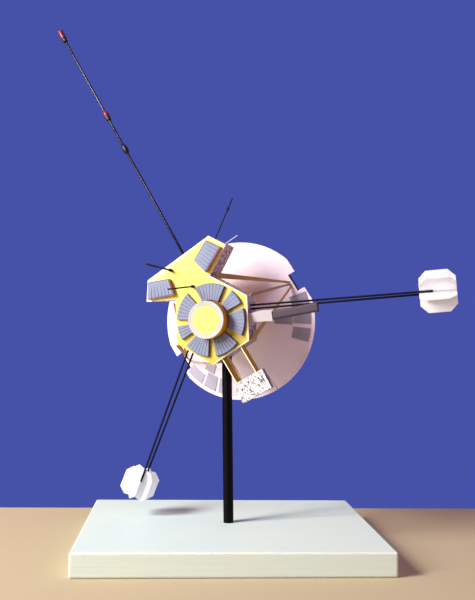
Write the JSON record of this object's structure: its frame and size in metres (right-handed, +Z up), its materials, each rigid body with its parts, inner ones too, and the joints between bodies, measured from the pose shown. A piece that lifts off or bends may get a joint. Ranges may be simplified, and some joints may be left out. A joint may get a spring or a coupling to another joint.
{
  "type": "spacecraft model",
  "caption": "Card model of a spin-stabilised deep-space probe: dish, hexagonal bus with louvers, finned generators on booms and a long sensor boom, on a post and painted board.",
  "frame": {"origin": "middle of the display board's underside", "axes": "+Z up, +X along the board's long side, -Y towards the viewer, who sees the bus's aft deck"},
  "size_m": [0.3255, 0.186, 0.4443],
  "materials": {
    "deck_yellow": "matt yellow card",
    "board_paint": "satin pale paint on planed wood",
    "louver_grey": "matt blue-grey card with printed blades",
    "bead_black": "satin black",
    "bead_red": "satin red",
    "boom_black": "satin black wire",
    "foil_print": "matt card printed as crinkled foil",
    "dish_card": "matt white card",
    "panel_grey": "matt grey paper",
    "feed_white": "matt white card",
    "foil_white": "matt card printed as crinkled foil",
    "generator_white": "matt white card",
    "dowel_black": "satin black paint on dowel",
    "rail_gold": "matt gold card",
    "cap_yellow": "matt pale yellow card",
    "rim_white": "matt white card",
    "ring_gold": "matt ochre card",
    "shade_grey": "matt grey card",
    "sensor_white": "matt white card",
    "strut_tan": "matt tan card",
    "whip_pale": "satin pale wire"
  },
  "bodies": {
    "root": {"aft_deck": "deck_yellow", "base_board": "board_paint", "bay_louver_left": "louver_grey", "bay_louver_right": "louver_grey", "bead_black": "bead_black", "bead_red": "bead_red", "boom_left_a": "boom_black", "boom_left_b": "boom_black", "boom_right_a": "boom_black", "boom_right_b": "boom_black", "bus_body": "foil_print", "dish": "dish_card", "dish_hub": "dish_card", "dish_panels": "panel_grey", "experiment_bay": "foil_print", "feed_box": "feed_white", "feed_horn": "feed_white", "feed_strut_1": "feed_white", "feed_strut_2": "feed_white", "feed_strut_3": "feed_white", "foil_box": "foil_white", "front_deck": "deck_yellow", "generator_left": "generator_white", "generator_right": "generator_white", "louver_a": "louver_grey", "louver_b": "louver_grey", "louver_c": "louver_grey", "louver_d": "louver_grey", "louver_e": "louver_grey", "louver_f": "louver_grey", "louver_g": "louver_grey", "mag_boom": "boom_black", "mag_sensor": "bead_red", "notch_bar_left": "boom_black", "notch_bar_right": "boom_black", "pin_bay": "boom_black", "pin_deck": "boom_black", "post": "dowel_black", "rail_left": "rail_gold", "rail_right": "rail_gold", "ring_cap": "cap_yellow", "ring_rim": "rim_white", "ring_wall": "ring_gold", "sensor_shade": "shade_grey", "star_sensor": "sensor_white", "strut_left_lower": "strut_tan", "strut_left_middle": "strut_tan", "strut_left_upper": "strut_tan", "strut_right_lower": "strut_tan", "strut_right_middle": "strut_tan", "strut_right_upper": "strut_tan", "whip_long": "boom_black", "whip_short": "whip_pale"}
  },
  "joints": []
}
